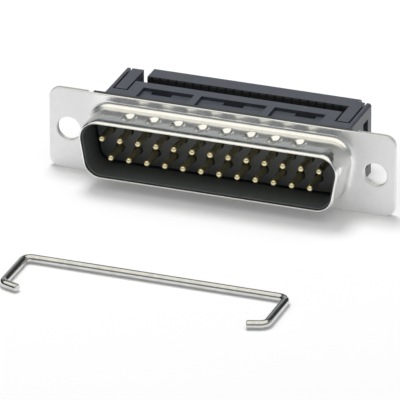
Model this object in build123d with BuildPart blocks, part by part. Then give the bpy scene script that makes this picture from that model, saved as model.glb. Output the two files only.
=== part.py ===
"""A 25-way D-sub plug for flat ribbon cable, with its cable cover and its loose wire strain relief.

The drawn steel shell faces the front, towards -Y, with the wide side of the D up. The origin is the
centre of the flange's front face. The cover stands open behind the housing, and the wire bail lies
in front of the plug on the surface that the flange stands on. All sizes are in millimetres.
"""
from build123d import *
import os
from math import radians, tan

os.makedirs("parts", exist_ok=True)

# Front shell: flange
flange_width = 53.04
flange_height = 12.55
flange_corner = 1.6
sheet = 0.4
hole_edge_margin = 1.2
hole_collar_margin = 1.04
hem_collar_gap = 0.04
hem_plate_gap = 0.92
hem_seam = 0.06
hem_seam_depth = 0.3
edge_bevel = 0.12

# Front shell: collar
collar_inner_width = 38.96
collar_inner_height = 8.36
collar_corner = 2.5
collar_depth = 5.9
side_slope = 10
base_radius = 0.8
rim_bevel = 0.14

# Grounding dimples along the collar's wide wall
dimple_count = 8
dimple_pitch = 3.71
dimple_setback = 2.9
dimple_radius = 1.1
dimple_sides = 8
dimple_depth = 0.35
dimple_floor_radius = 0.7

# Contacts
wide_row_count = 13
narrow_row_count = 12
pin_pitch = 2.77
cable_pitch = 1.27
row_spacing = 2.84
pin_diameter = 1.02
pin_sides = 10
pin_hole_sides = 6
pin_tip_diameter = 0.5
pin_tip_length = 0.7
pin_setback = 0.9
blade_thickness = 0.3
shoulder_width = 1.2
shoulder_length = 0.35
fork_width = 1.5
fork_slot_width = 0.3
fork_slot_length = 1.7
fork_lead_length = 0.6
fork_reach = 2.4

# Contact insert
floor_recess = 5.2
insert_clearance = 0.05
skirt_wall = 0.2
skirt_setback = 0.35
skirt_gap_margin = 1.4
skirt_gap_height = 1.2
insert_plate_thickness = 0.55
insert_plug_margin = 0.98
insert_plug_height = 5.2
insert_plug_depth = 1.25
pin_hole_clearance = 0.04

# Housing
housing_width = 37.8
housing_height = 11.2
housing_back = 7.5
housing_edge = 0.25
comb_thickness = 3.3
comb_clearance = 0.05
tower_back = 11.6
wire_groove_radius = 0.45
wire_groove_depth = 0.25
wire_groove_sides = 4

# Recessed windows in the housing's top and bottom
window_depth = 0.5
window_front = 2.0
window_back = 5.7
window_rib = 1.15
middle_window_width = 10.1
side_window_width = 7.8
side_pocket_place = 11.05
pocket_width = 3.1
pocket_length = 0.95
pocket_depth = 2.6

# Tower details: guide channels for the cover's arms, slots for the bail's hooks and top grooves
guide_depth = 1.3
guide_height = 2.1
guide_lip_reach = 0.4
guide_lip_length = 0.4
bail_slot_front = 8.05
bail_slot_back = 10.1
bail_slot_height = 7.6
pad_front = 4.3
pad_width = 1.75
pad_groove = 0.3
pad_groove_depth = 0.8

# Cable cover
cover_side_clearance = 0.2
cover_height = 8.4
cover_depth = 3.7
cover_front = 12.4
cover_closed_front = 7.7
cover_back_round = 0.9
cover_edge = 0.2
cable_clearance = 0.08
fork_pocket_clearance = 0.1
fork_pocket_depth = 2.5
arm_thickness = 0.95
arm_height = 1.8
arm_reach = 3.0
arm_root = 1.6
nib_reach = 0.4
nib_length = 0.8

# Wire bail
wire_diameter = 1.25
wire_sides = 8
bail_width = 39.5
bail_leg = 9.0
bail_bar_place = 31.85
bail_side_place = 1.8
bail_bend = 1.25
hook_inward = 2.65
hook_lean = 0.9

# Sizes and places worked out from those above
collar_outer_width = collar_inner_width + 2 * sheet
collar_outer_height = collar_inner_height + 2 * sheet
hem_start = collar_outer_width / 2 + base_radius + hem_collar_gap
insert_plate_width = 2 * (hem_start - hem_plate_gap)
ear_reach = (flange_width - collar_outer_width) / 2 - base_radius
hole_diameter = ear_reach - hole_collar_margin - hole_edge_margin
hole_spacing = flange_width - 2 * hole_edge_margin - hole_diameter
insert_floor = floor_recess - collar_depth
insert_plug_width = (wide_row_count - 1) * pin_pitch + 2 * insert_plug_margin
housing_front = sheet + insert_plate_thickness
insert_back = housing_front + insert_plug_depth
ear_thickness = 2 * sheet + hem_seam
comb_front = housing_back - comb_thickness
tower_inner = (wide_row_count * 2 - 1) * cable_pitch / 2 + cover_side_clearance + cable_clearance
cover_half_width = tower_inner - cover_side_clearance
floor_level = -flange_height / 2
row_height = row_spacing / 2
fork_pitch = 2 * cable_pitch
dimple_span = (dimple_count - 1) * dimple_pitch + 2 * dimple_radius
wire_offset = wire_groove_radius - wire_groove_depth


def front_plane(y):
    """Gives the plane at depth y that faces the front."""
    return Plane.XZ.offset(-y)


def d_corners(width, height, corner):
    """Gives the sharp corners of a D-shaped outline whose rounded form has this width and height."""
    top_half = width / 2 + corner * (1 / tan(radians(45 - side_slope / 2)) - 1)
    bottom_half = top_half - height * tan(radians(side_slope))
    return [
        (-top_half, height / 2),
        (-bottom_half, -height / 2),
        (bottom_half, -height / 2),
        (top_half, height / 2),
    ]


def row_places(count, pitch):
    """Gives the places along X of an evenly spaced row about the middle."""
    return [(index - (count - 1) / 2) * pitch for index in range(count)]


# Each contact is its place at the pin, its place at the fork and the height of its row
wide_row = zip(
    row_places(wide_row_count, pin_pitch),
    row_places(wide_row_count, fork_pitch),
    [row_height] * wide_row_count,
)
narrow_row = zip(
    row_places(narrow_row_count, pin_pitch),
    row_places(narrow_row_count, fork_pitch),
    [-row_height] * narrow_row_count,
)
contact_places = [*wide_row, *narrow_row]
wire_places = row_places(wide_row_count + narrow_row_count, cable_pitch)

# The form that each dimple presses down from the collar's wide wall: its mouth is at height zero, and
# its straight part above that stays within the sheet
with BuildPart() as dimple:
    with BuildSketch(Plane.XY.offset(-dimple_depth)) as dimple_outline:
        RegularPolygon(dimple_radius, dimple_sides, major_radius=False)
    extrude(amount=dimple_depth + sheet / 2)
    dimple_floor = dimple.faces().sort_by(Axis.Z)[0]
    chamfer(dimple_floor.edges(), dimple_radius - dimple_floor_radius, dimple_depth, reference=dimple_floor)

# Front shell: one drawn sheet, with each ear folded back on itself and pressed flat, which leaves a
# seam along its top and bottom edges
with BuildPart() as front_shell:
    with BuildSketch(front_plane(0)) as flange_outline:
        RectangleRounded(flange_width, flange_height, flange_corner)
    extrude(amount=-sheet)
    with BuildSketch(front_plane(sheet)) as ear_outlines:
        RectangleRounded(flange_width, flange_height, flange_corner)
        Rectangle(2 * hem_start, flange_height, mode=Mode.SUBTRACT)
    extrude(amount=sheet - ear_thickness)
    flange_front = front_shell.faces().filter_by(Axis.Y).sort_by(Axis.Y)[0]
    chamfer(flange_front.edges(), edge_bevel)
    with BuildSketch(front_plane(sheet)) as seams:
        Rectangle(flange_width - 2 * hem_seam_depth, flange_height)
        Rectangle(flange_width, flange_height - 2 * hem_seam_depth, mode=Mode.SUBTRACT)
    extrude(amount=-hem_seam, mode=Mode.SUBTRACT)
    with BuildSketch(front_plane(0)) as hole_outlines:
        with GridLocations(hole_spacing, 0, 2, 1):
            Circle(hole_diameter / 2)
    extrude(amount=-ear_thickness, mode=Mode.SUBTRACT)

    with BuildSketch(front_plane(0)) as collar_outline:
        Polygon(*d_corners(collar_outer_width, collar_outer_height, collar_corner + sheet), align=None)
        fillet(collar_outline.vertices(), collar_corner + sheet)
    extrude(amount=collar_depth)
    flange_front = front_shell.faces().filter_by(Axis.Y).sort_by(Axis.Y)[1]
    collar_base = flange_front.inner_wires().sort_by(SortBy.LENGTH)[-1]
    fillet(collar_base.edges(), base_radius)

    with BuildSketch(front_plane(sheet)) as mouth_outline:
        Polygon(*d_corners(collar_inner_width, collar_inner_height, collar_corner), align=None)
        fillet(mouth_outline.vertices(), collar_corner)
    extrude(amount=sheet + collar_depth, mode=Mode.SUBTRACT)
    rim = front_shell.faces().filter_by(Axis.Y).sort_by(Axis.Y)[0]
    chamfer(rim.outer_wire().edges(), rim_bevel)
    flange_back = front_shell.faces().filter_by(Axis.Y).group_by(Axis.Y)[-3].sort_by(SortBy.AREA)[-1]
    mouth_edge = flange_back.inner_wires().sort_by(SortBy.LENGTH)[-1]
    chamfer(mouth_edge.edges(), base_radius)

    dimple_places = [(x, dimple_setback - collar_depth) for x in row_places(dimple_count, dimple_pitch)]
    with Locations(*[(x, y, collar_inner_height / 2) for x, y in dimple_places]):
        add(dimple.part)
    with Locations(*[(x, y, collar_inner_height / 2 + sheet) for x, y in dimple_places]):
        add(dimple.part, mode=Mode.SUBTRACT)

# Contact insert: floor of the recess, a thin skirt inside the collar, a plate behind the flange and
# a plug that enters the housing
nose_width = collar_inner_width - 2 * insert_clearance
nose_height = collar_inner_height - 2 * insert_clearance
nose_corner = collar_corner - insert_clearance
with BuildPart() as contact_insert:
    with BuildSketch(front_plane(sheet)) as nose_outline:
        Polygon(*d_corners(nose_width, nose_height, nose_corner), align=None)
        fillet(nose_outline.vertices(), nose_corner)
    extrude(amount=sheet + collar_depth - skirt_setback)
    with BuildSketch(front_plane(insert_floor)) as recess_outline:
        Polygon(
            *d_corners(nose_width - 2 * skirt_wall, nose_height - 2 * skirt_wall, nose_corner - skirt_wall),
            align=None,
        )
        fillet(recess_outline.vertices(), nose_corner - skirt_wall)
    extrude(amount=collar_depth, mode=Mode.SUBTRACT)
    with BuildSketch(front_plane(insert_floor)) as skirt_gap:
        with Locations((0, nose_height / 2)):
            Rectangle(dimple_span + 2 * skirt_gap_margin, 2 * skirt_gap_height)
    extrude(amount=collar_depth, mode=Mode.SUBTRACT)
    with BuildSketch(front_plane(sheet)) as plate_outline:
        Rectangle(insert_plate_width, flange_height)
    extrude(amount=-insert_plate_thickness)
    with BuildSketch(front_plane(housing_front)) as plug_outline:
        Rectangle(insert_plug_width, insert_plug_height)
    extrude(amount=-insert_plug_depth)
    with BuildSketch(front_plane(insert_back)) as pin_holes:
        with Locations(*[(pin_x, row_z) for pin_x, fork_x, row_z in contact_places]):
            RegularPolygon(pin_diameter / 2 + pin_hole_clearance, pin_hole_sides, major_radius=False)
    extrude(amount=insert_back - insert_floor, mode=Mode.SUBTRACT)

# Housing: moulded block with a comb for the contacts and a tower at each end
housing_half = housing_width / 2
housing_top = housing_height / 2
with BuildPart() as housing:
    with BuildSketch(front_plane(housing_front)) as housing_outline:
        Rectangle(housing_width, housing_height)
    extrude(amount=housing_front - tower_back)
    with BuildSketch(front_plane(housing_back)) as tower_gap:
        Rectangle(2 * tower_inner, housing_height)
    extrude(amount=housing_back - tower_back, mode=Mode.SUBTRACT)
    chamfer(housing.edges().filter_by(Axis.Y).group_by(SortBy.LENGTH)[-1], housing_edge)

    # Chamber that takes the insert's plug and the bends of the contacts, and the comb behind it
    with BuildSketch(front_plane(housing_front)) as chamber:
        Rectangle(insert_plug_width + 2 * insert_clearance, insert_plug_height + 2 * insert_clearance)
    extrude(amount=housing_front - comb_front, mode=Mode.SUBTRACT)
    with BuildSketch(front_plane(comb_front)) as comb:
        with Locations(*[(fork_x, row_z) for pin_x, fork_x, row_z in contact_places]):
            Rectangle(fork_width + 2 * comb_clearance, blade_thickness + 2 * comb_clearance)
    extrude(amount=-comb_thickness, mode=Mode.SUBTRACT)

    # Grooved beds, as high as the cover, that guide the cable's wires over the back of the comb
    with BuildSketch(Plane.XY.offset(-cover_height / 2)) as wire_beds:
        with Locations(*[(x, housing_back + wire_offset) for x in wire_places]):
            RegularPolygon(wire_groove_radius, wire_groove_sides)
    extrude(amount=cover_height, mode=Mode.SUBTRACT)

    # Recessed windows, each with one deep pocket at its back edge
    side_window_place = (middle_window_width + side_window_width) / 2 + window_rib
    window_middle = (window_front + window_back) / 2
    pocket_middle = window_back - pocket_length / 2
    for face_plane in (Plane.XY.offset(housing_top), Plane.XY.offset(-housing_top)):
        inwards = -face_plane.origin.Z / housing_top
        with BuildSketch(face_plane) as windows:
            with Locations((0, window_middle)):
                Rectangle(middle_window_width, window_back - window_front)
            with Locations((-side_window_place, window_middle), (side_window_place, window_middle)):
                Rectangle(side_window_width, window_back - window_front)
        extrude(amount=inwards * window_depth, mode=Mode.SUBTRACT)
        with BuildSketch(face_plane) as pockets:
            with Locations(*[(x, pocket_middle) for x in (-side_pocket_place, 0, side_pocket_place)]):
                Rectangle(pocket_width, pocket_length)
        extrude(amount=inwards * (window_depth + pocket_depth), mode=Mode.SUBTRACT)

        # Narrow grooves that part a springy strip from the top of each tower
        with BuildSketch(face_plane) as strip_grooves:
            for side in (-1, 1):
                with Locations((side * (tower_inner - pad_groove / 2), (pad_front + housing_back) / 2)):
                    Rectangle(pad_groove, housing_back - pad_front)
                outer_groove = side * (tower_inner + pad_width + pad_groove / 2)
                with Locations((outer_groove, (pad_front + tower_back) / 2)):
                    Rectangle(pad_groove, tower_back - pad_front)
                with Locations((side * (tower_inner + pad_width / 2), pad_front - pad_groove / 2)):
                    Rectangle(pad_width + 2 * pad_groove, pad_groove)
        extrude(amount=inwards * pad_groove_depth, mode=Mode.SUBTRACT)

    # Slots in the end faces for the bail's hooks
    with BuildSketch(Plane.YZ.offset(-housing_half)) as bail_slots:
        with Locations(((bail_slot_front + bail_slot_back) / 2, 0)):
            Rectangle(bail_slot_back - bail_slot_front, bail_slot_height)
    extrude(amount=housing_width, mode=Mode.SUBTRACT)

    # Channels that guide the cover's arms, each with a lip at its mouth that holds the arm's nib
    channel_front = cover_closed_front - arm_reach - cover_side_clearance
    with BuildSketch(Plane.XY.offset(-guide_height / 2)) as channels:
        for side in (-1, 1):
            with Locations((side * (tower_inner + guide_depth / 2), (channel_front + tower_back) / 2)):
                Rectangle(guide_depth, tower_back - channel_front)
            with Locations((side * (tower_inner + guide_depth), tower_back)):
                Rectangle(2 * guide_lip_reach, 2 * guide_lip_length, mode=Mode.SUBTRACT)
            mouth_place = side * (tower_inner - cover_side_clearance / 2)
            with Locations((mouth_place, (channel_front + housing_back) / 2)):
                Rectangle(cover_side_clearance + 2 * pad_groove, housing_back - channel_front)
    extrude(amount=guide_height, mode=Mode.SUBTRACT)

# Cable cover: pressed towards the housing, it drives the cable onto the forks
with BuildPart() as cable_cover:
    with BuildSketch(front_plane(cover_front)) as cover_outline:
        Rectangle(2 * cover_half_width, cover_height)
    extrude(amount=-cover_depth)
    back_edges = cable_cover.edges().filter_by(Axis.X).group_by(Axis.Y)[-1]
    fillet(back_edges, cover_back_round)
    front_edges = cable_cover.edges().filter_by(Axis.X).group_by(Axis.Y)[0]
    chamfer(front_edges, cover_edge)
    with BuildSketch(front_plane(cover_front)) as fork_pockets:
        with Locations(*[(fork_x, row_z) for pin_x, fork_x, row_z in contact_places]):
            Rectangle(fork_width + 2 * fork_pocket_clearance, blade_thickness + 2 * fork_pocket_clearance)
    extrude(amount=-fork_pocket_depth, mode=Mode.SUBTRACT)
    with BuildSketch(Plane.XY.offset(-cover_height / 2)) as wire_grooves:
        with Locations(*[(x, cover_front - wire_offset) for x in wire_places]):
            RegularPolygon(wire_groove_radius, wire_groove_sides)
    extrude(amount=cover_height, mode=Mode.SUBTRACT)

    # Arms that run in the towers' channels, with a nib at each front end
    with BuildSketch(Plane.XY.offset(-arm_height / 2)) as arms:
        for side in (-1, 1):
            arm_place = side * (cover_half_width + arm_thickness / 2)
            with Locations((arm_place, cover_front + (arm_root - arm_reach) / 2)):
                Rectangle(arm_thickness, arm_reach + arm_root)
            nib_place = side * (cover_half_width + arm_thickness + nib_reach / 2)
            with Locations((nib_place, cover_front - arm_reach + nib_length / 2)):
                Rectangle(nib_reach, nib_length)
    extrude(amount=arm_height)

# Wire bail: one bent wire with a hook at each end, lying flat, drawn about the middle of its bar
half_bail = bail_width / 2
bar_middle = (bail_side_place, -bail_bar_place, floor_level + wire_diameter / 2)
with BuildPart() as wire_bail:
    with BuildLine(Plane(bar_middle)) as bail_path:
        FilletPolyline(
            (hook_inward - half_bail, -bail_leg - hook_lean),
            (-half_bail, -bail_leg),
            (-half_bail, 0),
            (half_bail, 0),
            (half_bail, -bail_leg),
            (half_bail - hook_inward, -bail_leg - hook_lean),
            radius=bail_bend,
        )
    with BuildSketch(Plane(origin=bail_path.line @ 0, z_dir=bail_path.line % 0)) as wire_section:
        RegularPolygon(wire_diameter / 2, wire_sides)
    sweep()

named_parts = {
    "front_shell": front_shell,
    "contact_insert": contact_insert,
    "housing": housing,
    "cable_cover": cable_cover,
    "wire_bail": wire_bail,
}

# Contacts: a round pin in front, a flat blade that bends to the cable's pitch, and a fork behind
pin_tip = pin_setback - collar_depth
fork_tip = housing_back + fork_reach
for index, (pin_x, fork_x, row_z) in enumerate(contact_places):
    with BuildPart() as contact:
        with BuildSketch(front_plane(insert_back)) as pin_section:
            RegularPolygon(pin_diameter / 2, pin_sides)
        extrude(amount=insert_back - pin_tip)
        pin_end = contact.faces().sort_by(Axis.Y)[0]
        chamfer(pin_end.edges(), (pin_diameter - pin_tip_diameter) / 2, pin_tip_length, reference=pin_end)
        with BuildSketch(Plane.XY.offset(-blade_thickness / 2)) as blade_outline:
            blade_shift = fork_x - pin_x
            Polygon(
                (-shoulder_width / 2, insert_back),
                (shoulder_width / 2, insert_back),
                (shoulder_width / 2, insert_back + shoulder_length),
                (blade_shift + fork_width / 2, comb_front),
                (blade_shift + fork_width / 2, fork_tip - fork_lead_length),
                (blade_shift + fork_slot_width, fork_tip),
                (blade_shift + fork_slot_width / 2, fork_tip - fork_slot_length),
                (blade_shift - fork_slot_width / 2, fork_tip - fork_slot_length),
                (blade_shift - fork_slot_width, fork_tip),
                (blade_shift - fork_width / 2, fork_tip - fork_lead_length),
                (blade_shift - fork_width / 2, comb_front),
                (-shoulder_width / 2, insert_back + shoulder_length),
                align=None,
            )
        extrude(amount=blade_thickness)
    contact.part.locate(Location((pin_x, 0, row_z)))
    named_parts[f"contact_{index + 1:02d}"] = contact

for name, builder in named_parts.items():
    builder.part.label = name
    export_step(builder.part, f"parts/{name}.step")
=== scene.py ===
"""Dresses the ribbon-cable plug: a drawn and tinned shell, gold contacts, moulded black plastic and a
bright wire bail, on a white studio table.

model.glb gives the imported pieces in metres. The shell, the insert, the contacts and the bail are made
again here with smooth walls, a rounded rim, oval dimples, round pins and round wire; the housing and the
cover keep their own form.
"""

import math

import bmesh
import bpy
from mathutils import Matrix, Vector


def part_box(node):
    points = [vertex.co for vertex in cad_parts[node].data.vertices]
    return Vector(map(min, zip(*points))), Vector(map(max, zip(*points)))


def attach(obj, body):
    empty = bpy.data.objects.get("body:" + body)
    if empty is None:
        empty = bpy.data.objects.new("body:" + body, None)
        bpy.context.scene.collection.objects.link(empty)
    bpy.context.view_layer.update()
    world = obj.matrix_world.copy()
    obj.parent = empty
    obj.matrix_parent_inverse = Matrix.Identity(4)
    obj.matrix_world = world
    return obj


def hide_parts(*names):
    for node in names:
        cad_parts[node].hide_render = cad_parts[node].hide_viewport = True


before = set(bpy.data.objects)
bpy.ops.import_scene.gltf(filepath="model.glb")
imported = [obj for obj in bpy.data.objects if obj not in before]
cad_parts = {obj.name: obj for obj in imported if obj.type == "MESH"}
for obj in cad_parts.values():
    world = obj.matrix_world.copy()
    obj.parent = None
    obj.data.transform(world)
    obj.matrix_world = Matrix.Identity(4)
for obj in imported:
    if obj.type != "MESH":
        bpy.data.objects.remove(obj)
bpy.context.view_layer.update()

MM = 0.001
tiny = 1e-7

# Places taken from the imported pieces
shell_low, shell_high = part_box("front_shell")
floor_level = shell_low.z
rim_front = shell_low.y
ear_back = shell_high.y
pin_low, pin_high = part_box("contact_01")
contact_names = [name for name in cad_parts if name.startswith("contact_") and name != "contact_insert"]

# Sheet and flange of the shell
sheet = 0.4 * MM
flange_half_width = shell_high.x
flange_half_height = shell_high.z
flange_corner = 1.6 * MM
flange_corner_steps = 12
flange_round = 0.16 * MM
edge_front_points = 8
hole_radius = 1.8 * MM
hole_margin = 3.0 * MM
hole_place = flange_half_width - hole_margin
hole_round = 0.14 * MM
hole_sides = 72
hem_start = 20.72 * MM
seam_depth = 0.18 * MM
seam_half = 0.06 * MM

# Collar of the shell
collar_width = 38.96 * MM
collar_height = 8.36 * MM
collar_corner = 2.5 * MM
side_slope = math.radians(10)
base_radius = 0.8 * MM
rim_draw_length = 1.4 * MM
rim_draw_height = 0.31 * MM
rim_draw_steps = 12
rim_inner_round = 0.09 * MM
corner_steps = 28
wide_wall_steps = 300
narrow_wall_steps = 40
side_wall_steps = 6

# Dimples pressed into the collar's wide wall, longer from front to back than across
dimple_count = 8
dimple_pitch = 3.71 * MM
dimple_place = rim_front + 3.0 * MM
dimple_radius = 1.2 * MM
dimple_stretch = 1.4
dimple_floor_radius = 0.35 * MM
dimple_depth = 0.42 * MM
wide_wall_margin = 0.1 * MM

# Contact insert inside the collar
insert_clearance = 0.05 * MM
skirt_wall = 0.2 * MM
skirt_setback = 0.35 * MM
skirt_gap_margin = 2.5 * MM
skirt_gap_half = (dimple_count - 1) * dimple_pitch / 2 + skirt_gap_margin
recess_floor = rim_front + 5.2 * MM
moat_width = 0.36 * MM
moat_depth = 1.0 * MM
floor_round = 0.06 * MM
pin_hole_gap = 0.05 * MM
pin_hole_sink = 0.15 * MM
pin_hole_sides = 28
plate_half_width = 19.8 * MM
plate_back = 0.95 * MM
plug_half_width = 17.6 * MM
plug_half_height = 2.6 * MM

# Contacts
wide_row_count = 13
narrow_row_count = 12
pin_pitch = 2.77 * MM
fork_pitch = 2.54 * MM
row_height = 1.42 * MM
pin_radius = 0.51 * MM
pin_sides = 24
pin_front = pin_low.y
pin_back = 2.2 * MM
tip_length = 0.56 * MM
tip_steps = 14
tip_support = 0.1 * MM
shoulder_back = pin_back + 0.35 * MM
shoulder_half = 0.6 * MM
blade_half = 0.15 * MM
fork_half = 0.75 * MM
fork_back = pin_high.y
comb_front = 4.2 * MM
fork_lead = 0.6 * MM
slot_half = 0.15 * MM
slot_length = 1.7 * MM

# Cable cover, whose grooved front face is dull and painted near black as painted shade
cover_depth = 3.7 * MM
cover_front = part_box("cable_cover")[1].y - cover_depth
groove_depth = 0.24 * MM

# Bail
bail_low, bail_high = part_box("wire_bail")
wire_radius = (bail_high.z - bail_low.z) / 2
bail_bend = 1.25 * MM
hook_inward = 2.65 * MM
hook_lean = 0.9 * MM
bail_leg = 9.0 * MM
bend_steps = 14
wire_sides = 28
wire_end_round = 0.2 * MM
wire_end_steps = 4

# Least turn of an edge that stays sharp
shell_crease = math.radians(38)
insert_crease = math.radians(30)
contact_crease = math.radians(40)
wire_crease = math.radians(50)

# Finishes: darkest and lightest colour, least and greatest roughness, strength and distance of the bump
drawn_steel = (0.72, 0.72, 0.71), (0.80, 0.80, 0.79)
drawn_rough = 0.11, 0.22
pressed_steel = (0.78, 0.78, 0.78), (0.84, 0.84, 0.84)
pressed_rough = 0.54, 0.62
shell_bump = 0.5, 0.03 * MM
pale_gold = (0.70, 0.61, 0.35), (0.82, 0.74, 0.47)
gold_rough = 0.25, 0.33
gold_bump = 0.03, 0.01 * MM
wire_grey = (0.50, 0.50, 0.49), (0.63, 0.63, 0.61)
wire_rough = 0.06, 0.13
wire_bump = 0.05, 0.01 * MM
insert_grey = (0.021, 0.025, 0.024), (0.031, 0.035, 0.034)
insert_bump = 0.25, 0.02 * MM
housing_grey = (0.038, 0.043, 0.053), (0.053, 0.059, 0.072)
housing_bump = 0.30, 0.02 * MM
moulded_rough = 0.37, 0.47

# Painted light and shade on a moulded piece's front: colour and least roughness, and half the depth in which
# it ends
# Painted light: the skirt inside the collar is painted a lighter grey than the insert's plastic, as a painted
# sheen
skirt_painted_light_grey = (0.075, 0.083, 0.082)
skirt_rough = 0.42
# Painted shade: the cover's grooved front face is painted near black
cover_painted_shade_black = (0.010, 0.011, 0.012)
dull_rough = 0.95
depth_blend = 0.05 * MM

# Where the shell's satin ears begin, across and in depth, and where its corners are wavy
satin_across = 17.0 * MM, 21.5 * MM
satin_depth = -0.35 * MM, -0.05 * MM
waves_rise = 16.6 * MM, 18.4 * MM
waves_fall = 20.0 * MM, 21.0 * MM
wave_gain = 2.5

# Studio: brightness of the room's parts, where one is white
overhead_light = 1.3
front_wall_light = 0.30
left_wall_light = 0.85
back_wall_light = 0.5
valance_light = 0.08
table_colour = 0.60
table_glow = 0.1
mirrored_table_glow = 0.25
table_half = 3.0
table_rough = 0.9
curtain_share = 0.08
overhead_tint = (1.0, 0.98, 0.88)
wall_tint = (0.94, 0.98, 1.0)
lamp_power = 3.0
lamp_place = Vector((-0.12, 0.14, 0.60))
lamp_width = 0.25

# Studio: where the room's parts begin and end, as parts of a direction of length one
front_to_back = -0.7, 0.7
left_wall_across = -0.85, -0.40
left_wall_depth = -0.25, 0.0
left_curtain_across = -1.1, -0.78
left_curtain_height = 0.02, 0.45
back_curtain_across = 0.12, 0.45
back_curtain_depth = 0.6, 1.1
curtain_fade = 0.1
rear_half = 0.1, 0.4
valance_height = 0.44, 0.56
overhead_start = 0.52, 0.68
overhead_end = 0.70, 0.82

# Photograph: the camera's direction, its distance, the point that it aims at and its scale there
camera_azimuth = 20.11
camera_elevation = 24.86
camera_distance = 1.2
camera_target = Vector((-3.22, 0, -8.20)) * MM
photo_pixels = 400
pixels_per_metre = 6908
sensor_width = 36


# Mesh helpers

def new_mesh_object(name, bm, material):
    """Turns a bmesh into an object of the scene with one material."""
    mesh = bpy.data.meshes.new(name)
    bm.to_mesh(mesh)
    bm.free()
    mesh.materials.append(material)
    piece = bpy.data.objects.new(name, mesh)
    bpy.context.scene.collection.objects.link(piece)
    return piece


def smooth_with_sharp_edges(bm, angle):
    """Shades all faces smooth and keeps the edges sharp that turn by more than the angle."""
    for face in bm.faces:
        face.smooth = True
    for edge in bm.edges:
        if len(edge.link_faces) == 2 and edge.calc_face_angle(0) > angle:
            edge.smooth = False


def apply_tree(piece, tree, values):
    """Runs a geometry tree on a piece and keeps the result as its plain mesh."""
    modifier = piece.modifiers.new(tree.name, "NODES")
    modifier.node_group = tree
    sockets = {item.name: item.identifier for item in tree.interface.items_tree if item.in_out == "INPUT"}
    for name, value in values.items():
        modifier[sockets[name]] = value
    depsgraph = bpy.context.evaluated_depsgraph_get()
    made = bpy.data.meshes.new_from_object(piece.evaluated_get(depsgraph))
    piece.modifiers.remove(modifier)
    old = piece.data
    piece.data = made
    bpy.data.meshes.remove(old)


# Node helpers

def node(tree, kind, **settings):
    """Adds a node and sets its properties."""
    made = tree.nodes.new(kind)
    for name, value in settings.items():
        setattr(made, name, value)
    return made


def math_node(tree, operation, first, second=None):
    """Adds a Math node fed by sockets or by numbers, and gives its output."""
    made = node(tree, "ShaderNodeMath", operation=operation)
    for socket, value in zip(made.inputs, (first, second)):
        if isinstance(value, bpy.types.NodeSocket):
            tree.links.new(value, socket)
        elif value is not None:
            socket.default_value = value
    return made.outputs[0]


def map_range(tree, value, low, high, to_low=0.0, to_high=1.0, kind="SMOOTHSTEP"):
    """Adds a Map Range node and gives its output."""
    made = node(tree, "ShaderNodeMapRange", interpolation_type=kind)
    tree.links.new(value, made.inputs["Value"])
    for name, number in (("From Min", low), ("From Max", high), ("To Min", to_low), ("To Max", to_high)):
        if isinstance(number, bpy.types.NodeSocket):
            tree.links.new(number, made.inputs[name])
        else:
            made.inputs[name].default_value = number
    return made.outputs["Result"]


def mix_colours(tree, factor, first, second):
    """Mixes two colours, each fixed or from a socket, by a factor and gives the output."""
    made = node(tree, "ShaderNodeMix", data_type="RGBA")
    tree.links.new(factor, made.inputs[0])
    for socket, value in ((made.inputs[6], first), (made.inputs[7], second)):
        if isinstance(value, bpy.types.NodeSocket):
            tree.links.new(value, socket)
        else:
            socket.default_value = (*value, 1)
    return made.outputs[2]


def coordinate_parts(tree, space):
    """X, Y and Z of a shader's place in a space."""
    place = node(tree, "ShaderNodeTexCoord")
    parts = node(tree, "ShaderNodeSeparateXYZ")
    tree.links.new(place.outputs[space], parts.inputs[0])
    return parts.outputs


def position_parts(tree):
    """X, Y and Z of a geometry's points."""
    position = node(tree, "GeometryNodeInputPosition")
    parts = node(tree, "ShaderNodeSeparateXYZ")
    tree.links.new(position.outputs[0], parts.inputs[0])
    return parts.outputs


def geometry_tree(name, counts, measures):
    """Makes a geometry tree with whole and decimal inputs and a finish, and gives it with its end nodes."""
    tree = bpy.data.node_groups.new(name, "GeometryNodeTree")
    tree.interface.new_socket("Geometry", in_out="INPUT", socket_type="NodeSocketGeometry")
    for label in counts:
        tree.interface.new_socket(label, in_out="INPUT", socket_type="NodeSocketInt")
    for label in measures:
        tree.interface.new_socket(label, in_out="INPUT", socket_type="NodeSocketFloat")
    tree.interface.new_socket("Finish", in_out="INPUT", socket_type="NodeSocketMaterial")
    tree.interface.new_socket("Geometry", in_out="OUTPUT", socket_type="NodeSocketGeometry")
    return tree, node(tree, "NodeGroupInput"), node(tree, "NodeGroupOutput")


def realized(tree, geometry):
    """Turns instances into plain geometry."""
    realize = node(tree, "GeometryNodeRealizeInstances")
    tree.links.new(geometry, realize.inputs[0])
    return realize.outputs[0]


def hand_out(tree, geometry, given, out):
    """Gives a tree's geometry its finish and hands it out."""
    finish = node(tree, "GeometryNodeSetMaterial")
    tree.links.new(geometry, finish.inputs["Geometry"])
    tree.links.new(given.outputs["Finish"], finish.inputs["Material"])
    tree.links.new(finish.outputs[0], out.inputs[0])


# Materials

def group_with(name, inputs, outputs):
    """Makes a shader group with named float inputs and outputs, and gives it with its two end nodes."""
    group = bpy.data.node_groups.new(name, "ShaderNodeTree")
    for label, value in inputs.items():
        socket = group.interface.new_socket(label, in_out="INPUT", socket_type="NodeSocketFloat")
        socket.default_value = value
    for label in outputs:
        group.interface.new_socket(label, in_out="OUTPUT", socket_type="NodeSocketFloat")
    return group, node(group, "NodeGroupInput"), node(group, "NodeGroupOutput")


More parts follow.
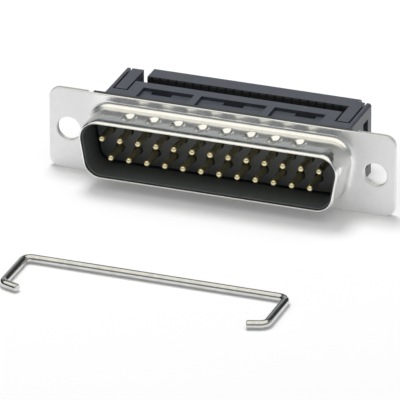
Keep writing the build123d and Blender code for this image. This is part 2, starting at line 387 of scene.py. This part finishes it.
def make_cloud_group():
    """Cloudy mask and fine height of a metal or moulded surface, in sizes per millimetre."""
    group, given, out = group_with(
        "surface_clouds",
        {"Cloud Scale": 1.0, "Fine Scale": 6.0, "Contrast": 0.5},
        ("Clouds", "Fine"),
    )
    place = node(group, "ShaderNodeTexCoord")
    metric = node(group, "ShaderNodeVectorMath", operation="SCALE")
    metric.inputs["Scale"].default_value = 1 / MM
    group.links.new(place.outputs["Object"], metric.inputs[0])
    clouds = node(group, "ShaderNodeTexNoise", noise_dimensions="3D")
    clouds.inputs["Detail"].default_value = 5
    clouds.inputs["Roughness"].default_value = 0.6
    clouds.inputs["Distortion"].default_value = 0.8
    group.links.new(metric.outputs[0], clouds.inputs["Vector"])
    group.links.new(given.outputs["Cloud Scale"], clouds.inputs["Scale"])
    fine = node(group, "ShaderNodeTexNoise", noise_dimensions="3D")
    fine.inputs["Detail"].default_value = 3
    group.links.new(metric.outputs[0], fine.inputs["Vector"])
    group.links.new(given.outputs["Fine Scale"], fine.inputs["Scale"])
    half = math_node(group, "MULTIPLY", given.outputs["Contrast"], 0.5)
    low = math_node(group, "SUBTRACT", 0.5, half)
    high = math_node(group, "ADD", 0.5, half)
    group.links.new(map_range(group, clouds.outputs["Fac"], low, high), out.inputs["Clouds"])
    group.links.new(fine.outputs["Fac"], out.inputs["Fine"])
    return group


cloud_group = make_cloud_group()


def new_material(name, **clouds):
    """Starts a node material and gives it with its tree, its surface shader and its cloud group node."""
    material = bpy.data.materials.new(name)
    material.use_nodes = True
    tree = material.node_tree
    surface = tree.nodes["Principled BSDF"]
    group = node(tree, "ShaderNodeGroup", node_tree=cloud_group)
    for label, value in clouds.items():
        group.inputs[label.replace("_", " ").title()].default_value = value
    return material, tree, surface, group


def add_bump(tree, surface, height, strength, distance):
    """Feeds a height into the surface's normal."""
    bump = node(tree, "ShaderNodeBump")
    bump.inputs["Strength"].default_value = strength
    bump.inputs["Distance"].default_value = distance
    tree.links.new(height, bump.inputs["Height"])
    tree.links.new(bump.outputs["Normal"], surface.inputs["Normal"])


def shell_steel():
    """Tinned steel: bright and cloudy where it was drawn, satin on the pressed ears, wavy at the corners."""
    material, tree, surface, clouds = new_material(
        "tinned_steel", cloud_scale=0.5, fine_scale=0.9, contrast=0.6
    )
    cloudy = clouds.outputs["Clouds"]
    place = coordinate_parts(tree, "Object")
    across = math_node(tree, "ABSOLUTE", place["X"])
    on_ear = math_node(
        tree, "MULTIPLY", map_range(tree, across, *satin_across), map_range(tree, place["Y"], *satin_depth)
    )
    drawn_colour = mix_colours(tree, cloudy, *drawn_steel)
    ear_colour = mix_colours(tree, cloudy, *pressed_steel)
    tree.links.new(mix_colours(tree, on_ear, drawn_colour, ear_colour), surface.inputs["Base Color"])
    rough = node(tree, "ShaderNodeMix", data_type="FLOAT")
    tree.links.new(on_ear, rough.inputs[0])
    tree.links.new(map_range(tree, cloudy, 0, 1, *drawn_rough, "LINEAR"), rough.inputs[2])
    tree.links.new(map_range(tree, cloudy, 0, 1, *pressed_rough, "LINEAR"), rough.inputs[3])
    tree.links.new(rough.outputs[0], surface.inputs["Roughness"])
    surface.inputs["Metallic"].default_value = 1
    corner = math_node(
        tree, "MULTIPLY", map_range(tree, across, *waves_rise), map_range(tree, across, *waves_fall, 1.0, 0.0)
    )
    waves = math_node(tree, "ADD", math_node(tree, "MULTIPLY", corner, wave_gain), 1.0)
    add_bump(tree, surface, math_node(tree, "MULTIPLY", clouds.outputs["Fine"], waves), *shell_bump)
    return material


def plain_metal(name, colours, roughness, bump, **clouds):
    """A metal with slight clouds in its colour and gloss, and a fine grain."""
    material, tree, surface, group = new_material(name, **clouds)
    cloudy = group.outputs["Clouds"]
    tree.links.new(mix_colours(tree, cloudy, *colours), surface.inputs["Base Color"])
    tree.links.new(map_range(tree, cloudy, 0, 1, *roughness, "LINEAR"), surface.inputs["Roughness"])
    surface.inputs["Metallic"].default_value = 1
    add_bump(tree, surface, group.outputs["Fine"], *bump)
    return material


def moulded_plastic(name, colours, bump, front=None):
    """Moulded thermoplastic with a faint grain and slight cloudiness.

    Its front, where it has one, is painted a colour that stands in for the light and shade there, with a
    least roughness, for what lies before a depth.
    """
    material, tree, surface, clouds = new_material(name, cloud_scale=0.35, fine_scale=7.0, contrast=0.7)
    cloudy = clouds.outputs["Clouds"]
    colour = mix_colours(tree, cloudy, *colours)
    roughness = map_range(tree, cloudy, 0, 1, *moulded_rough, "LINEAR")
    if front is not None:
        # The front's colour is painted: lighter for painted light, darker for painted shade
        painted_front_colour, front_rough, depth = front
        place = coordinate_parts(tree, "Object")
        behind = map_range(tree, place["Y"], depth - depth_blend, depth + depth_blend)
        colour = mix_colours(tree, behind, painted_front_colour, colour)
        least = map_range(tree, behind, 0, 1, front_rough, 0, "LINEAR")
        roughness = math_node(tree, "MAXIMUM", roughness, least)
    tree.links.new(colour, surface.inputs["Base Color"])
    tree.links.new(roughness, surface.inputs["Roughness"])
    add_bump(tree, surface, clouds.outputs["Fine"], *bump)
    return material


steel = shell_steel()
gold = plain_metal(
    "hard_gold", pale_gold, gold_rough, gold_bump, cloud_scale=0.6, fine_scale=3.0, contrast=1.0
)
wire_steel = plain_metal(
    "drawn_wire", wire_grey, wire_rough, wire_bump, cloud_scale=0.8, fine_scale=5.0, contrast=0.6
)
# The insert's skirt, in front of the recess floor, gets a painted sheen: a lighter grey than its plastic
insert_black = moulded_plastic(
    "insert_plastic", insert_grey, insert_bump, (skirt_painted_light_grey, skirt_rough, recess_floor)
)
housing_black = moulded_plastic("housing_plastic", housing_grey, housing_bump)
# The cover's grooved front face is painted near black, painted shade in its grooves
cover_black = moulded_plastic(
    "cover_plastic", housing_grey, housing_bump, (cover_painted_shade_black, dull_rough, cover_front + groove_depth)
)


# An outline is a list of (centre, direction) pairs in X and Z, and offsets are measured along them

def arc_stations(centre, start, turn, count):
    """Stations round an arc about one centre, from a start angle in degrees."""
    stations = []
    for index in range(count + 1):
        angle = math.radians(start + turn * index / count)
        stations.append((centre, (math.cos(angle), math.sin(angle))))
    return stations


def run_stations(first, last, steps):
    """Stations between two others, in equal steps."""
    (start, direction), (end, _) = first, last
    stations = []
    for step in range(1, steps):
        share = step / steps
        centre = (start[0] + (end[0] - start[0]) * share, start[1] + (end[1] - start[1]) * share)
        stations.append((centre, direction))
    return stations


def collar_stations():
    """The D-shaped outline, clockwise from its top left corner; the offset is the corner's radius."""
    top_half = collar_width / 2 + collar_corner * (1 / math.tan(math.pi / 4 - side_slope / 2) - 1)
    bottom_half = top_half - collar_height * math.tan(side_slope)
    top_x = top_half - collar_corner * (1 + math.sin(side_slope)) / math.cos(side_slope)
    bottom_x = bottom_half - collar_corner * (1 - math.sin(side_slope)) / math.cos(side_slope)
    level = collar_height / 2 - collar_corner
    slope = math.degrees(side_slope)
    top_left = arc_stations((-top_x, level), 180 + slope, -90 - slope, corner_steps)
    top_right = arc_stations((top_x, level), 90, -90 - slope, corner_steps)
    bottom_right = arc_stations((bottom_x, -level), -slope, -90 + slope, corner_steps)
    bottom_left = arc_stations((-bottom_x, -level), -90, -90 + slope, corner_steps)
    top_run = run_stations(top_left[-1], top_right[0], wide_wall_steps)
    right_run = run_stations(top_right[-1], bottom_right[0], side_wall_steps)
    bottom_run = run_stations(bottom_right[-1], bottom_left[0], narrow_wall_steps)
    left_run = run_stations(bottom_left[-1], top_left[0], side_wall_steps)
    return [*top_left, *top_run, *top_right, *right_run, *bottom_right, *bottom_run, *bottom_left, *left_run]


def round_stations(x, count):
    """A full circle about a place on the X axis, clockwise."""
    return arc_stations((x, 0), 90, -360, count)[:-1]


def quarter(centre, radius, start, turn, steps=6):
    """Points of a profile's arc, as (offset, depth) pairs; angle zero points outwards, 90 to the back."""
    points = []
    for index in range(steps + 1):
        angle = math.radians(start + turn * index / steps)
        points.append((centre[0] + radius * math.cos(angle), centre[1] + radius * math.sin(angle)))
    return points


def add_ring(bm, stations, offset, depth):
    """Adds one closed ring of vertices at an offset from the stations' centres."""
    return [
        bm.verts.new((centre[0] + direction[0] * offset, depth, centre[1] + direction[1] * offset))
        for centre, direction in stations
    ]


def bridge(bm, first, second):
    """Joins two closed rings with faces."""
    for index, vertex in enumerate(first):
        after = (index + 1) % len(first)
        bm.faces.new((vertex, first[after], second[after], second[index]))


def add_strip(bm, stations, profile):
    """Sweeps a profile of (offset, depth) points round the stations, and gives its first and last ring."""
    rings = [add_ring(bm, stations, offset, depth) for offset, depth in profile]
    for first, second in zip(rings, rings[1:]):
        bridge(bm, first, second)
    return rings[0], rings[-1]


def fill_plane(bm, depth, side=0):
    """Fills the flat region between the open edges at a depth, on one side of the middle or on both."""
    edges = [
        edge for edge in bm.edges
        if len(edge.link_faces) == 1
        and all(abs(vertex.co.y - depth) < tiny for vertex in edge.verts)
        and all(vertex.co.x * side >= 0 for vertex in edge.verts)
    ]
    bmesh.ops.triangle_fill(bm, edges=edges, use_beauty=True, use_dissolve=False)


def collar_profile():
    """The sheet's section at the collar, from the flange's front over the rim to the flange's back."""
    outer = collar_corner + sheet
    inner = collar_corner
    bend = (outer + base_radius, -base_radius)
    support = 0.05 * MM
    reach = dimple_radius * dimple_stretch
    fine_low = max(dimple_place - reach, rim_front + rim_draw_length + support)
    fine_high = dimple_place + reach
    fine_steps = 26
    fine = [fine_high + (fine_low - fine_high) * step / fine_steps for step in range(fine_steps + 1)]
    profile = [(bend[0] + support, 0)]
    profile += quarter(bend, base_radius, 90, 90, steps=10)
    profile += [(outer, depth) for depth in fine]
    for step in range(rim_draw_steps + 1):
        angle = math.radians(90 * step / rim_draw_steps)
        offset = outer - rim_draw_height * (1 - math.cos(angle))
        profile.append((offset, rim_front + rim_draw_length * (1 - math.sin(angle))))
    rim_inside = (inner + rim_inner_round, rim_front + rim_inner_round)
    profile += quarter(rim_inside, rim_inner_round, 270, -90, steps=4)
    profile += [(inner, depth) for depth in reversed(fine)]
    profile += quarter(bend, base_radius + sheet, 180, -90, steps=8)
    profile += [(bend[0] + support, sheet)]
    return profile


def ear_stations(side):
    """One ear's rounded outline, from the middle's edge round its two corners and back."""
    centre_x = flange_half_width - flange_corner
    centre_z = flange_half_height - flange_corner
    stations = [
        ((hem_start, centre_z), (0, 1)),
        *arc_stations((centre_x, centre_z), 90, -90, flange_corner_steps),
        *arc_stations((centre_x, -centre_z), 0, -90, flange_corner_steps),
        ((hem_start, -centre_z), (0, -1)),
    ]
    return [((side * x, side * z), (side * across, side * up)) for (x, z), (across, up) in stations]


def ear_edge(pressed):
    """An ear's edge from front to back, with the seam between its two layers pressed in by a share."""
    out = flange_corner
    middle = ear_back / 2
    floor = out - seam_depth * pressed
    points = [(out - 2 * flange_round, 0)]
    points += quarter((out - flange_round, flange_round), flange_round, 270, 90)
    points += [(out, middle - 2 * seam_half), (floor, middle - seam_half)]
    points += [(floor, middle + seam_half), (out, middle + 2 * seam_half)]
    points += quarter((out - flange_round, ear_back - flange_round), flange_round, 0, 90)
    points += [(out - 2 * flange_round, ear_back)]
    return points


def single_edge():
    """The flange's edge where it is one sheet thick."""
    out = flange_corner
    points = [(out - 2 * flange_round, 0)]
    points += quarter((out - flange_round, flange_round), flange_round, 270, 90)
    points += quarter((out - flange_round, sheet - flange_round), flange_round, 0, 90)
    points += [(out - 2 * flange_round, sheet)]
    return points


def add_column(bm, station, profile):
    """Adds one column of vertices across an edge at a station."""
    (x, z), (across, up) = station
    return [bm.verts.new((x + across * offset, depth, z + up * offset)) for offset, depth in profile]


def bridge_columns(bm, first, second):
    """Joins two columns of vertices with faces."""
    for step in range(len(first) - 1):
        bm.faces.new((first[step], second[step], second[step + 1], first[step + 1]))


def add_flange(bm):
    """The rim of the flange: two folded ears with one sheet between them.

    The edges of one sheet and of two share the points of their rounded front.
    """
    thin_columns = []
    for side in (1, -1):
        stations = ear_stations(side)
        thick = [add_column(bm, station, ear_edge(abs(station[1][1]))) for station in stations]
        for first, second in zip(thick, thick[1:]):
            bridge_columns(bm, first, second)
        for column, station in ((thick[0], stations[0]), (thick[-1], stations[-1])):
            thin_columns.append(add_column(bm, station, single_edge()))
        near_back, far_back = [column[edge_front_points - 1:] for column in thin_columns[-2:]]
        fold_start, fold_end = [column[edge_front_points:] for column in (thick[0], thick[-1])]
        bm.faces.new([*near_back, *reversed(far_back), *fold_end, *reversed(fold_start)])
    bridge_columns(bm, thin_columns[3], thin_columns[0])
    bridge_columns(bm, thin_columns[1], thin_columns[2])


def hole_profile():
    """A screw hole's wall from front to back: two rounded mouths and a faint seam between the layers."""
    wide = hole_radius + 2 * hole_round
    middle = ear_back / 2
    points = [(wide, 0)]
    points += quarter((hole_radius + hole_round, hole_round), hole_round, 270, -90, steps=5)
    points += [(hole_radius, middle - 2 * seam_half), (hole_radius + seam_depth / 2, middle)]
    points += [(hole_radius, middle + 2 * seam_half)]
    points += quarter((hole_radius + hole_round, ear_back - hole_round), hole_round, 180, -90, steps=5)
    points += [(wide, ear_back)]
    return points


# Pieces

def make_shell():
    """The drawn shell: collar, flange, ears and holes as one closed sheet."""
    bm = bmesh.new()
    add_strip(bm, collar_stations(), collar_profile())
    add_flange(bm)
    for side in (1, -1):
        add_strip(bm, round_stations(side * hole_place, hole_sides), hole_profile())
    bmesh.ops.remove_doubles(bm, verts=bm.verts, dist=tiny)
    fill_plane(bm, 0)
    fill_plane(bm, sheet)
    fill_plane(bm, ear_back, 1)
    fill_plane(bm, ear_back, -1)
    bmesh.ops.recalc_face_normals(bm, faces=bm.faces)
    smooth_with_sharp_edges(bm, shell_crease)
    return new_mesh_object("drawn_shell", bm, steel)


def add_block(bm, low, high):
    """Adds a closed block between two opposite corners."""
    corners = bmesh.ops.create_cube(bm, size=1)["verts"]
    middle = (Vector(low) + Vector(high)) / 2
    size = Vector(high) - Vector(low)
    for vertex in corners:
        vertex.co = Vector([middle[axis] + vertex.co[axis] * size[axis] for axis in range(3)])


def make_insert():
    """The front insulator: a thin skirt in the collar, a floor with holes, a plate and a plug behind."""
    bm = bmesh.new()
    outer = collar_corner - insert_clearance
    inner = outer - skirt_wall
    lip_round = skirt_wall / 2
    lip = (outer - lip_round, rim_front + skirt_setback + lip_round)
    floor_edge = inner - moat_width
    profile = [(outer, sheet), (outer, lip[1])]
    profile += quarter(lip, lip_round, 0, -180, steps=8)[1:]
    profile += [(inner, recess_floor + moat_depth), (floor_edge, recess_floor + moat_depth)]
    profile += [(floor_edge, recess_floor + floor_round), (floor_edge - floor_round, recess_floor)]
    profile += [(floor_edge - 2 * floor_round, recess_floor)]
    stations = collar_stations()
    rings = [add_ring(bm, stations, offset, depth) for offset, depth in profile]
    for ring in rings:
        for vertex in ring:
            if vertex.co.z > 0 and abs(vertex.co.x) < skirt_gap_half:
                vertex.co.y = max(vertex.co.y, recess_floor)
    for first, second in zip(rings, rings[1:]):
        bridge(bm, first, second)
    hole = pin_radius + pin_hole_gap
    hole_section = [(hole + pin_hole_sink, recess_floor), (hole, recess_floor + pin_hole_sink)]
    hole_section += [(hole, plate_back)]
    for count, height in ((wide_row_count, row_height), (narrow_row_count, -row_height)):
        for index in range(count):
            x = (index - (count - 1) / 2) * pin_pitch
            circle = [((x, height), direction) for _, direction in round_stations(0, pin_hole_sides)]
            add_strip(bm, circle, hole_section)
    fill_plane(bm, recess_floor)
    bmesh.ops.recalc_face_normals(bm, faces=bm.faces)
    add_block(bm, (-plate_half_width, sheet, floor_level), (plate_half_width, plate_back, -floor_level))
    plug_low = (-plug_half_width, plate_back, -plug_half_height)
    plug_high = (plug_half_width, pin_back, plug_half_height)
    add_block(bm, plug_low, plug_high)
    smooth_with_sharp_edges(bm, insert_crease)
    return new_mesh_object("front_insulator", bm, insert_black)


def dimple_tree():
    """Presses an evenly spaced row of oval dimples down into the wall above a height."""
    tree, given, out = geometry_tree(
        "press_dimples", ("Count",), ("Pitch", "Place", "Radius", "Floor Radius", "Stretch", "Depth", "Above")
    )
    place = position_parts(tree)
    last = math_node(tree, "SUBTRACT", given.outputs["Count"], 1.0)
    steps = math_node(tree, "DIVIDE", place["X"], given.outputs["Pitch"])
    along = math_node(tree, "ADD", steps, math_node(tree, "MULTIPLY", last, 0.5))
    nearest = math_node(tree, "MAXIMUM", math_node(tree, "ROUND", along), 0.0)
    nearest = math_node(tree, "MINIMUM", nearest, last)
    across = math_node(tree, "MULTIPLY", math_node(tree, "SUBTRACT", along, nearest), given.outputs["Pitch"])
    beyond = math_node(tree, "SUBTRACT", place["Y"], given.outputs["Place"])
    beyond = math_node(tree, "DIVIDE", beyond, given.outputs["Stretch"])
    squared = math_node(
        tree, "ADD", math_node(tree, "MULTIPLY", across, across), math_node(tree, "MULTIPLY", beyond, beyond)
    )
    distance = math_node(tree, "SQRT", squared)
    pressed = map_range(tree, distance, given.outputs["Radius"], given.outputs["Floor Radius"])
    drop = math_node(tree, "MULTIPLY", math_node(tree, "MULTIPLY", pressed, given.outputs["Depth"]), -1.0)
    shift = node(tree, "ShaderNodeCombineXYZ")
    tree.links.new(drop, shift.inputs["Z"])
    in_wall = node(tree, "FunctionNodeCompare", data_type="FLOAT", operation="GREATER_THAN")
    tree.links.new(place["Z"], in_wall.inputs[0])
    tree.links.new(given.outputs["Above"], in_wall.inputs[1])
    press = node(tree, "GeometryNodeSetPosition")
    tree.links.new(given.outputs["Geometry"], press.inputs["Geometry"])
    tree.links.new(in_wall.outputs[0], press.inputs["Selection"])
    tree.links.new(shift.outputs[0], press.inputs["Offset"])
    hand_out(tree, realized(tree, press.outputs[0]), given, out)
    return tree


def make_contact():
    """One contact about the axis X = Z = 0: round pin, shoulder, flat blade and fork."""
    bm = bmesh.new()
    stations = round_stations(0, pin_sides)
    profile = []
    for step in range(1, tip_steps + 1):
        angle = math.radians(90 * step / tip_steps)
        profile.append((pin_radius * math.sin(angle), pin_front + tip_length * (1 - math.cos(angle))))
    profile += [(pin_radius, pin_front + tip_length + tip_support), (pin_radius, pin_back)]
    front, back = add_strip(bm, stations, profile)
    bm.faces.new(front)
    bm.faces.new(back)
    slot_front = fork_back - slot_length
    lead_front = fork_back - fork_lead
    right_half = [
        (shoulder_half, pin_back), (shoulder_half, shoulder_back), (fork_half, comb_front),
        (fork_half, lead_front), (2 * slot_half, fork_back), (slot_half, slot_front),
    ]
    outline = right_half + [(-x, y) for x, y in reversed(right_half)]
    low = [bm.verts.new((x, y, -blade_half)) for x, y in outline]
    high = [bm.verts.new((x, y, blade_half)) for x, y in outline]
    bm.faces.new(low)
    bm.faces.new(high)
    bridge(bm, low, high)
    bmesh.ops.recalc_face_normals(bm, faces=bm.faces)
    smooth_with_sharp_edges(bm, contact_crease)
    return new_mesh_object("contacts", bm, gold)


def contact_tree():
    """Sets two rows of contacts at the pins' pitch, and shears each blade over to the cable's pitch."""
    tree, given, out = geometry_tree(
        "contact_rows", ("Wide Count", "Narrow Count"),
        ("Pin Pitch", "Fork Pitch", "Row Height", "Bend Front", "Bend Back"),
    )
    rows = node(tree, "GeometryNodeJoinGeometry")
    for label, sign in (("Wide Count", 1.0), ("Narrow Count", -1.0)):
        last = math_node(tree, "SUBTRACT", given.outputs[label], 1.0)
        length = math_node(tree, "MULTIPLY", last, given.outputs["Pin Pitch"])
        start = math_node(tree, "MULTIPLY", length, -0.5)
        height = math_node(tree, "MULTIPLY", given.outputs["Row Height"], sign)
        start_place = node(tree, "ShaderNodeCombineXYZ")
        tree.links.new(start, start_place.inputs["X"])
        tree.links.new(height, start_place.inputs["Z"])
        step = node(tree, "ShaderNodeCombineXYZ")
        tree.links.new(given.outputs["Pin Pitch"], step.inputs["X"])
        line = node(tree, "GeometryNodeMeshLine", mode="OFFSET")
        tree.links.new(given.outputs[label], line.inputs["Count"])
        tree.links.new(start_place.outputs[0], line.inputs["Start Location"])
        tree.links.new(step.outputs[0], line.inputs["Offset"])
        tree.links.new(line.outputs[0], rows.inputs[0])
    steps_out = math_node(tree, "DIVIDE", position_parts(tree)["X"], given.outputs["Pin Pitch"])
    keep = node(tree, "GeometryNodeStoreNamedAttribute", data_type="FLOAT", domain="POINT")
    keep.inputs["Name"].default_value = "steps_out"
    tree.links.new(rows.outputs[0], keep.inputs["Geometry"])
    tree.links.new(steps_out, keep.inputs["Value"])
    repeat = node(tree, "GeometryNodeInstanceOnPoints")
    tree.links.new(keep.outputs[0], repeat.inputs["Points"])
    tree.links.new(given.outputs["Geometry"], repeat.inputs["Instance"])
    bend = given.outputs["Bend Front"], given.outputs["Bend Back"]
    bent = map_range(tree, position_parts(tree)["Y"], *bend, kind="LINEAR")
    read = node(tree, "GeometryNodeInputNamedAttribute", data_type="FLOAT")
    read.inputs["Name"].default_value = "steps_out"
    difference = math_node(tree, "SUBTRACT", given.outputs["Fork Pitch"], given.outputs["Pin Pitch"])
    shift = math_node(tree, "MULTIPLY", read.outputs["Attribute"], difference)
    shift = math_node(tree, "MULTIPLY", shift, bent)
    offset = node(tree, "ShaderNodeCombineXYZ")
    tree.links.new(shift, offset.inputs["X"])
    shear = node(tree, "GeometryNodeSetPosition")
    tree.links.new(realized(tree, repeat.outputs[0]), shear.inputs["Geometry"])
    tree.links.new(offset.outputs[0], shear.inputs["Offset"])
    hand_out(tree, shear.outputs[0], given, out)
    return tree


def make_bail_line():
    """The bail's centre line as straight edges between its corners."""
    bm = bmesh.new()
    side_low = bail_low.x + wire_radius
    side_high = bail_high.x - wire_radius
    bar = bail_high.y - wire_radius
    hook = bar - bail_leg
    level = (bail_low.z + bail_high.z) / 2
    corners = [
        (side_low + hook_inward, hook - hook_lean), (side_low, hook), (side_low, bar),
        (side_high, bar), (side_high, hook), (side_high - hook_inward, hook - hook_lean),
    ]
    points = [bm.verts.new((x, y, level)) for x, y in corners]
    for first, second in zip(points, points[1:]):
        bm.edges.new((first, second))
    return new_mesh_object("wire_strain_relief", bm, wire_steel)


def bent_wire_tree():
    """Rounds the corners of a line and sweeps a round wire along it, with flat ends."""
    tree, given, out = geometry_tree("bent_wire", (), ("Wire Radius", "Bend Radius"))
    line = node(tree, "GeometryNodeMeshToCurve")
    tree.links.new(given.outputs["Geometry"], line.inputs[0])
    bends = node(tree, "GeometryNodeFilletCurve", mode="POLY")
    bends.inputs["Count"].default_value = bend_steps
    tree.links.new(line.outputs[0], bends.inputs["Curve"])
    tree.links.new(given.outputs["Bend Radius"], bends.inputs["Radius"])
    section = node(tree, "GeometryNodeCurvePrimitiveCircle", mode="RADIUS")
    section.inputs["Resolution"].default_value = wire_sides
    tree.links.new(given.outputs["Wire Radius"], section.inputs["Radius"])
    wire = node(tree, "GeometryNodeCurveToMesh")
    wire.inputs["Fill Caps"].default_value = True
    tree.links.new(bends.outputs[0], wire.inputs["Curve"])
    tree.links.new(section.outputs[0], wire.inputs["Profile Curve"])
    hand_out(tree, realized(tree, wire.outputs[0]), given, out)
    return tree


def round_cut_ends(piece):
    """Rounds the edge of the wire's two flat ends, the only faces with more than four corners."""
    bm = bmesh.new()
    bm.from_mesh(piece.data)
    rims = [edge for edge in bm.edges if any(len(face.verts) > 4 for face in edge.link_faces)]
    bmesh.ops.bevel(
        bm, geom=rims, offset=wire_end_round, offset_type="OFFSET", segments=wire_end_steps, profile=0.5,
        affect="EDGES",
    )
    bm.to_mesh(piece.data)
    bm.free()


def round_shading(piece, angle):
    """Shades a finished mesh smooth, with its sharp edges kept."""
    bm = bmesh.new()
    bm.from_mesh(piece.data)
    smooth_with_sharp_edges(bm, angle)
    bm.to_mesh(piece.data)
    bm.free()


def dress(name, material):
    """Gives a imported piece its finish."""
    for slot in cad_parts[name].material_slots:
        slot.material = material


shell = make_shell()
apply_tree(shell, dimple_tree(), {
    "Count": dimple_count,
    "Pitch": dimple_pitch,
    "Place": dimple_place,
    "Radius": dimple_radius,
    "Floor Radius": dimple_floor_radius,
    "Stretch": dimple_stretch,
    "Depth": dimple_depth,
    "Above": collar_height / 2 - wide_wall_margin,
    "Finish": steel,
})
round_shading(shell, shell_crease)
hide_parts("front_shell")
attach(shell, "plug")

insert = make_insert()
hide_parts("contact_insert")
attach(insert, "plug")

contacts = make_contact()
apply_tree(contacts, contact_tree(), {
    "Wide Count": wide_row_count,
    "Narrow Count": narrow_row_count,
    "Pin Pitch": pin_pitch,
    "Fork Pitch": fork_pitch,
    "Row Height": row_height,
    "Bend Front": shoulder_back,
    "Bend Back": comb_front,
    "Finish": gold,
})
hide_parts(*contact_names)
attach(contacts, "plug")

bail = make_bail_line()
apply_tree(bail, bent_wire_tree(), {
    "Wire Radius": wire_radius,
    "Bend Radius": bail_bend,
    "Finish": wire_steel,
})
round_cut_ends(bail)
round_shading(bail, wire_crease)
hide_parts("wire_bail")
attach(bail, "plug")

dress("housing", housing_black)
dress("cable_cover", cover_black)


# Studio and camera

def make_floor():
    """A white table that keeps the shadows, with a faint glow that is stronger where metal mirrors it."""
    bm = bmesh.new()
    half = table_half
    corners = ((-half, -half), (half, -half), (half, half), (-half, half))
    bm.faces.new([bm.verts.new((x, y, floor_level)) for x, y in corners])
    material = bpy.data.materials.new("white_table")
    material.use_nodes = True
    tree = material.node_tree
    surface = tree.nodes["Principled BSDF"]
    surface.inputs["Base Color"].default_value = (table_colour, table_colour, table_colour, 1)
    surface.inputs["Roughness"].default_value = table_rough
    surface.inputs["Specular IOR Level"].default_value = 0
    surface.inputs["Emission Color"].default_value = (1, 1, 1, 1)
    rays = node(tree, "ShaderNodeLightPath")
    seen = math_node(tree, "MAXIMUM", rays.outputs["Is Camera Ray"], rays.outputs["Is Transmission Ray"])
    seen_glow = math_node(tree, "MULTIPLY", seen, table_glow)
    mirrored_glow = math_node(tree, "MULTIPLY", rays.outputs["Is Glossy Ray"], mirrored_table_glow)
    tree.links.new(math_node(tree, "ADD", seen_glow, mirrored_glow), surface.inputs["Emission Strength"])
    floor = new_mesh_object("table", bm, material)


def curtain(tree, first, first_band, second, second_band):
    """One where two values both lie in their bands and zero elsewhere, with soft edges."""
    shares = []
    for value, (low, high) in ((first, first_band), (second, second_band)):
        rise = map_range(tree, value, low - curtain_fade, low)
        fall = map_range(tree, value, high, high + curtain_fade, 1.0, 0.0)
        shares.append(math_node(tree, "MULTIPLY", rise, fall))
    return math_node(tree, "MULTIPLY", *shares)


def faded(tree, value, share, target):
    """Takes a value towards a target by a share."""
    return math_node(
        tree, "ADD", value, math_node(tree, "MULTIPLY", share, math_node(tree, "SUBTRACT", target, value))
    )


def make_world():
    """A studio room: white to the camera, with a broad soft light overhead to light the plug.

    The metal mirrors dim walls, of which the left one is brighter, two dark curtains on them, and a dark
    valance along the back edge of the light.
    """
    world = bpy.data.worlds.new("studio")
    world.use_nodes = True
    bpy.context.scene.world = world
    tree = world.node_tree
    background = tree.nodes["Background"]
    rays = node(tree, "ShaderNodeLightPath")
    place = coordinate_parts(tree, "Generated")
    walls = map_range(tree, place["Y"], *front_to_back, front_wall_light, back_wall_light)
    on_left = math_node(
        tree, "MULTIPLY", map_range(tree, place["X"], *left_wall_across, 1.0, 0.0),
        map_range(tree, place["Y"], *left_wall_depth, 1.0, 0.0),
    )
    walls = faded(tree, walls, on_left, left_wall_light)
    curtains = math_node(
        tree, "MAXIMUM", curtain(tree, place["X"], left_curtain_across, place["Z"], left_curtain_height),
        curtain(tree, place["X"], back_curtain_across, place["Y"], back_curtain_depth),
    )
    curtained = map_range(tree, curtains, 0, 1, 1.0, curtain_share, "LINEAR")
    walls = math_node(tree, "MULTIPLY", walls, curtained)
    behind = map_range(tree, place["Y"], *rear_half)
    on_valance = math_node(tree, "MULTIPLY", behind, map_range(tree, place["Z"], *valance_height))
    room = faded(tree, walls, on_valance, valance_light)
    start = map_range(tree, behind, 0.0, 1.0, *overhead_start, "LINEAR")
    end = map_range(tree, behind, 0.0, 1.0, *overhead_end, "LINEAR")
    overhead = map_range(tree, place["Z"], start, end)
    room = faded(tree, room, overhead, overhead_light)
    strength = node(tree, "ShaderNodeMix", data_type="FLOAT")
    tree.links.new(rays.outputs["Is Camera Ray"], strength.inputs[0])
    tree.links.new(room, strength.inputs[2])
    strength.inputs[3].default_value = 1
    tree.links.new(strength.outputs[0], background.inputs["Strength"])
    mirrored = mix_colours(tree, overhead, wall_tint, overhead_tint)
    tint = mix_colours(tree, rays.outputs["Is Glossy Ray"], (1, 1, 1), mirrored)
    tree.links.new(tint, background.inputs["Color"])


def make_lamp():
    """A soft round lamp above the plug, which makes its shadow but isn't mirrored in the metal."""
    data = bpy.data.lights.new("softbox", "AREA")
    data.shape = "DISK"
    data.size = lamp_width
    data.energy = lamp_power
    lamp = bpy.data.objects.new("softbox", data)
    lamp.location = lamp_place
    lamp.rotation_mode = "QUATERNION"
    lamp.rotation_quaternion = (-lamp_place).to_track_quat("-Z", "Y")
    lamp.visible_glossy = False
    bpy.context.scene.collection.objects.link(lamp)


def make_camera():
    """A long lens at the photograph's angle."""
    azimuth = math.radians(camera_azimuth)
    elevation = math.radians(camera_elevation)
    back = Vector((
        math.sin(azimuth) * math.cos(elevation),
        -math.cos(azimuth) * math.cos(elevation),
        math.sin(elevation),
    ))
    data = bpy.data.cameras.new("camera")
    data.sensor_width = sensor_width
    data.lens = pixels_per_metre * camera_distance * sensor_width / photo_pixels
    data.clip_start = 0.01
    data.clip_end = 20
    camera = bpy.data.objects.new("camera", data)
    camera.location = camera_target + back * camera_distance
    camera.rotation_mode = "QUATERNION"
    camera.rotation_quaternion = (-back).to_track_quat("-Z", "Y")
    bpy.context.scene.collection.objects.link(camera)
    bpy.context.scene.camera = camera


make_floor()
make_world()
make_lamp()
make_camera()
bpy.context.scene.view_settings.view_transform = "Standard"
